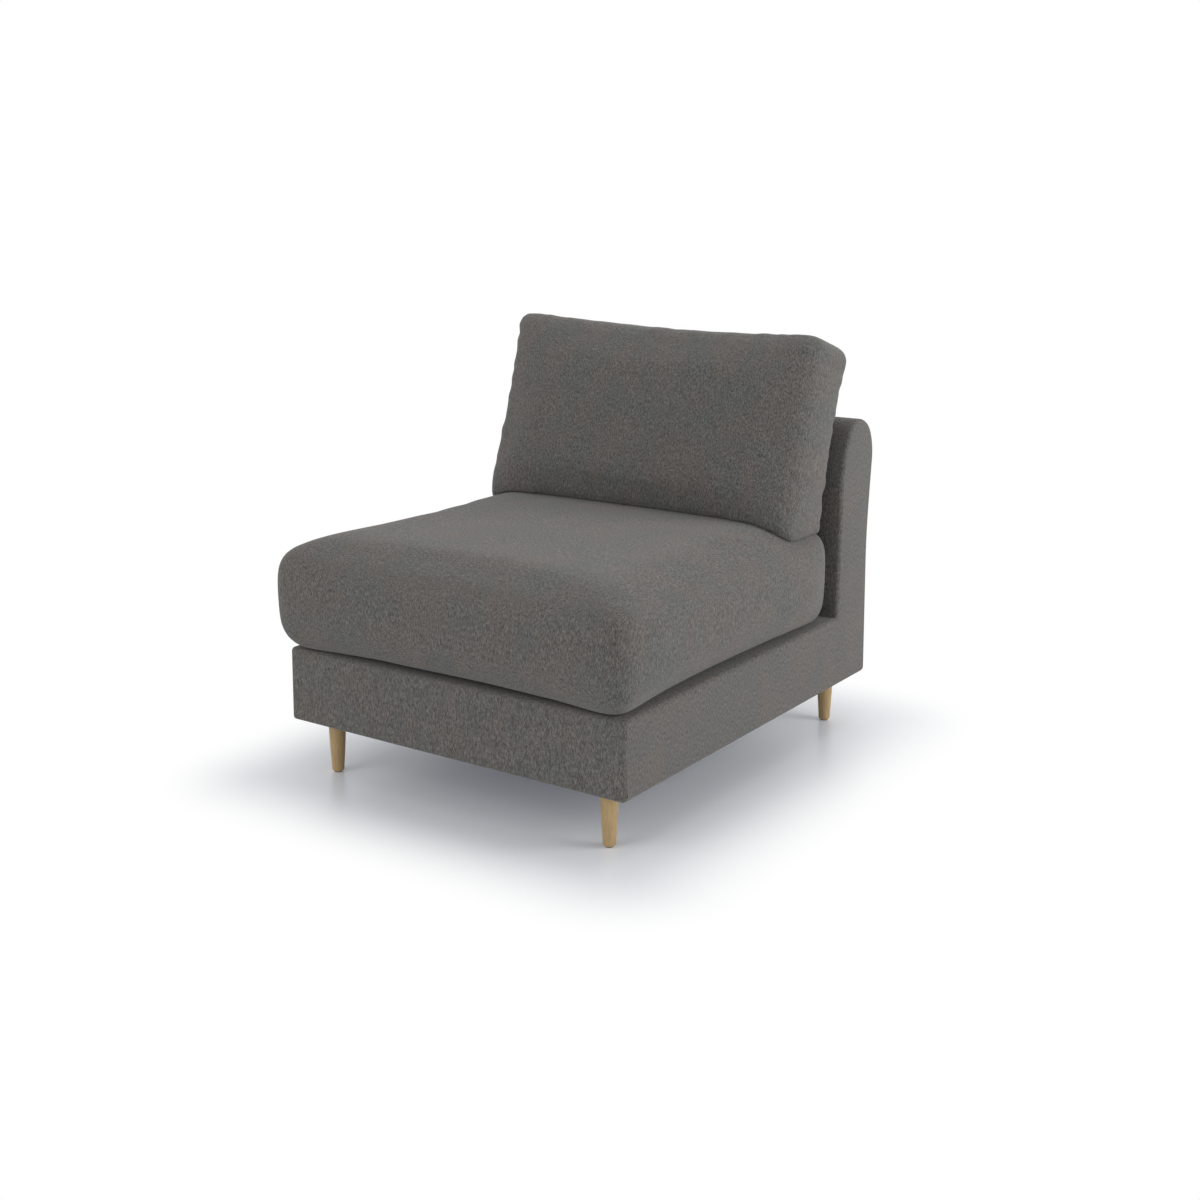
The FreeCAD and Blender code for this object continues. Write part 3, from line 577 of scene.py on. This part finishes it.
def side_loop():
    """The side's outline in (y, z), in order, from the inner rim of the right side cover."""
    work = bmesh.new()
    work.from_mesh(frame["nodes"]["side_cover_right"].data)
    bmesh.ops.remove_doubles(work, verts=work.verts, dist=WELD)
    rim = min(vertex.co.x for vertex in work.verts)
    level = [e for e in work.edges if all(abs(v.co.x - rim) < WELD for v in e.verts)]
    corners = [e for e in level if abs(e.link_faces[0].normal.x - e.link_faces[1].normal.x) > 0.5]
    following = {}
    for edge in corners:
        first, second = edge.verts
        following.setdefault(first, []).append(second)
        following.setdefault(second, []).append(first)
    loops = []
    while following:
        start = next(iter(following))
        loop, here, before = [], start, None
        while here in following:
            ahead = [v for v in following.pop(here) if v is not before]
            loop.append((here.co.y, here.co.z))
            before, here = here, ahead[0]
        loops.append(loop)
    work.free()
    longest = max(loops, key=lambda loop: max(y for y, z in loop) - min(y for y, z in loop))
    turning = sum(a[0] * b[1] - b[0] * a[1] for a, b in zip(longest, longest[1:] + longest[:1]))
    return longest if turning > 0 else longest[::-1]


def resampled(loop, step):
    """The same closed loop with its long runs divided."""
    points = []
    for start, end in zip(loop, loop[1:] + loop[:1]):
        length = math.dist(start, end)
        parts = max(1, round(length / step))
        for part in range(parts):
            share = part / parts
            points.append((start[0] + (end[0] - start[0]) * share, start[1] + (end[1] - start[1]) * share))
    return points


def inward(points):
    """The unit vector into the loop at each point of an anticlockwise loop."""
    vectors = []
    for before, after in zip(points[-1:] + points[:-1], points[1:] + points[:1]):
        along = (after[0] - before[0], after[1] - before[1])
        length = math.hypot(*along)
        vectors.append((-along[1] / length, along[0] / length))
    return vectors


def make_base():
    """One soft skin over the side profile, rounded where the sides meet the front, the deck and the back."""
    points = resampled(side_loop(), OUTLINE_STEP)
    inwards = inward(points)
    stations = []
    for step in range(EDGE_STEPS + 1):
        turn = math.pi / 2 * step / EDGE_STEPS
        stations.append((SIDE - SOFT_EDGE * (1 - math.sin(turn)), SOFT_EDGE * (1 - math.cos(turn))))
    reach = SIDE - SOFT_EDGE - EDGE_MARGIN
    middle = [(x, 0.0) for x in np.linspace(-reach, reach, MIDDLE_STATIONS)]
    left = [(-x, inset) for x, inset in reversed(stations)]
    rows = left + middle + stations
    work = bmesh.new()
    grid = []
    for x, inset in rows:
        grid.append([work.verts.new((x, y + in_y * inset, z + in_z * inset))
                     for (y, z), (in_y, in_z) in zip(points, inwards)])

    # The underside lies within the dust cover's thickness
    dust_low, dust_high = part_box("dust_cover")
    for vertex in work.verts:
        place = vertex.co
        if place.z < dust_high.z and abs(place.x) < dust_high.x and dust_low.y < place.y < dust_high.y:
            place.z = (dust_low.z + dust_high.z) / 2

    for low, high in zip(grid[:-1], grid[1:]):
        for index in range(len(points)):
            after = (index + 1) % len(points)
            work.faces.new((low[index], low[after], high[after], high[index]))
    for row in (grid[0], grid[-1]):
        edges = [work.edges.get((row[i], row[(i + 1) % len(row)])) for i in range(len(row))]
        bmesh.ops.triangle_fill(work, use_beauty=True, edges=edges)
    bmesh.ops.recalc_face_normals(work, faces=work.faces)
    mesh = bpy.data.meshes.new("base_upholstery")
    work.to_mesh(mesh)
    work.free()

    base = add_object("base_upholstery", mesh, BASE_CLOTH, "frame")
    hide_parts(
        "side_cover_left",
        "side_cover_right",
        "front_cover",
        "deck_cloth",
        "inner_back_cover",
        "outer_back_cover",
        "side_wadding_left",
        "side_wadding_right",
        "front_wadding",
        "deck_pad",
        "inner_back_wadding",
        "outer_back_wadding",
        "inner_back_foam",
        "back_top_roll",
        "outer_back_foam",
    )
    return base


# Floor, light and camera

FLOOR_SIZE = 60
FLOOR_COLOUR = (0.9, 0.91, 0.92)
FLOOR_GLOW = (0.07, 0.076, 0.092)
FADE_START = 0.0
FADE_END = 0.26
WORLD_COLOUR = (0.97, 0.985, 1.0)
WORLD_LIGHT = 0.5
LAMP_TARGET = (0, 0, 0.35)
LAMPS = (
    ("side_lamp", (3.5, 1.3, 1.5), 2.0, 58),
    ("front_lamp", (-1.5, -4.0, 2.2), 3.0, 45),
    ("top_lamp", (0.2, 0.3, 3.2), 2.5, 22),
)
CAMERA_PLACE = Vector((1.8908, -2.7030, 1.1796))
CAMERA_TURN = 0.6037
CAMERA_PITCH = 0.1468
CAMERA_SHIFT = -0.15
CAMERA_FAR = 100
FOCAL_PIXELS = 1632.6
PHOTO_PIXELS = 1200
SENSOR = 36


def beyond_footprint(nodes):
    """How far a point of the floor lies outside the base's footprint."""
    parts = nodes.add("ShaderNodeSeparateXYZ")
    nodes.link(nodes.coordinates.outputs["Object"], parts.inputs[0])
    outside = []
    for axis, half in (("X", SIDE), ("Y", (BASE_HIGH.y - BASE_LOW.y) / 2)):
        over = nodes.math("SUBTRACT", nodes.math("ABSOLUTE", parts.outputs[axis]), half)
        outside.append(nodes.math("POWER", nodes.math("MAXIMUM", over, 0.0), 2.0))
    return nodes.math("SQRT", nodes.math("ADD", *outside))


def make_floor():
    """A pale floor that keeps the sofa's shadow and is plain white to the camera away from it."""
    bpy.ops.mesh.primitive_plane_add(size=FLOOR_SIZE)
    floor = bpy.context.object
    floor.name = "floor"
    material, shader = new_material("floor", FLOOR_COLOUR, 0.3, 0.35)
    nodes = Nodes(material)
    rays = nodes.add("ShaderNodeLightPath")
    seen = nodes.math("MAXIMUM", rays.outputs["Is Camera Ray"], rays.outputs["Is Glossy Ray"])
    seen = nodes.math("MAXIMUM", seen, rays.outputs["Is Transmission Ray"])
    fade = nodes.add("ShaderNodeMapRange", interpolation_type="SMOOTHSTEP")
    fade.inputs["From Min"].default_value = FADE_START
    fade.inputs["From Max"].default_value = FADE_END
    nodes.link(beyond_footprint(nodes), fade.inputs["Value"])
    share = nodes.math("MULTIPLY", fade.outputs["Result"], seen)
    glow = nodes.add("ShaderNodeEmission")
    glow.inputs["Color"].default_value = (*FLOOR_GLOW, 1)
    nodes.link(seen, glow.inputs["Strength"])
    lit = nodes.add("ShaderNodeAddShader")
    nodes.link(shader.outputs[0], lit.inputs[0])
    nodes.link(glow.outputs[0], lit.inputs[1])
    white = nodes.add("ShaderNodeEmission")
    white.inputs["Color"].default_value = (1, 1, 1, 1)
    mixed = nodes.add("ShaderNodeMixShader")
    nodes.link(share, mixed.inputs[0])
    nodes.link(lit.outputs[0], mixed.inputs[1])
    nodes.link(white.outputs[0], mixed.inputs[2])
    nodes.link(mixed.outputs[0], material.node_tree.nodes["Material Output"].inputs["Surface"])
    floor.data.materials.append(material)


def make_world():
    """Even white light, and plain white where a ray from the camera leaves the scene."""
    world = bpy.data.worlds.new("studio")
    SCENE.world = world
    world.use_nodes = True
    tree = world.node_tree
    background = tree.nodes["Background"]
    rays = tree.nodes.new("ShaderNodeLightPath")
    white = tree.nodes.new("ShaderNodeBackground")
    white.inputs["Color"].default_value = (1, 1, 1, 1)
    mixed = tree.nodes.new("ShaderNodeMixShader")
    seen = tree.nodes.new("ShaderNodeMath")
    seen.operation = "MAXIMUM"
    also = tree.nodes.new("ShaderNodeMath")
    also.operation = "MAXIMUM"
    background.inputs["Color"].default_value = (*WORLD_COLOUR, 1)
    background.inputs["Strength"].default_value = WORLD_LIGHT
    tree.links.new(rays.outputs["Is Camera Ray"], seen.inputs[0])
    tree.links.new(rays.outputs["Is Glossy Ray"], seen.inputs[1])
    tree.links.new(seen.outputs[0], also.inputs[0])
    tree.links.new(rays.outputs["Is Transmission Ray"], also.inputs[1])
    tree.links.new(also.outputs[0], mixed.inputs[0])
    tree.links.new(background.outputs[0], mixed.inputs[1])
    tree.links.new(white.outputs[0], mixed.inputs[2])
    tree.links.new(mixed.outputs[0], tree.nodes["World Output"].inputs["Surface"])


def add_lamp(name, place, size, power):
    """A square white lamp that looks at the sofa."""
    data = bpy.data.lights.new(name, "AREA")
    data.shape = "SQUARE"
    data.size = size
    data.energy = power
    lamp = bpy.data.objects.new(name, data)
    SCENE.collection.objects.link(lamp)
    lamp.location = place
    lamp.rotation_euler = (Vector(LAMP_TARGET) - Vector(place)).to_track_quat("-Z", "Y").to_euler()


def make_camera():
    """The photograph's point of view; its focal length is worked out for the 1200 pixel frame."""
    data = bpy.data.cameras.new("camera")
    data.sensor_width = SENSOR
    data.lens = FOCAL_PIXELS / PHOTO_PIXELS * SENSOR
    data.shift_y = CAMERA_SHIFT
    data.clip_end = CAMERA_FAR
    camera = bpy.data.objects.new("camera", data)
    SCENE.collection.objects.link(camera)
    camera.location = CAMERA_PLACE
    camera.rotation_euler = (math.pi / 2 - CAMERA_PITCH, 0, CAMERA_TURN)
    SCENE.camera = camera


# The whole scene

dress_cad_nodes()
make_base()
make_back_cushion(make_seat_cushion())
make_floor()
make_world()
for lamp in LAMPS:
    add_lamp(*lamp)
make_camera()
SCENE.view_settings.view_transform = "Standard"
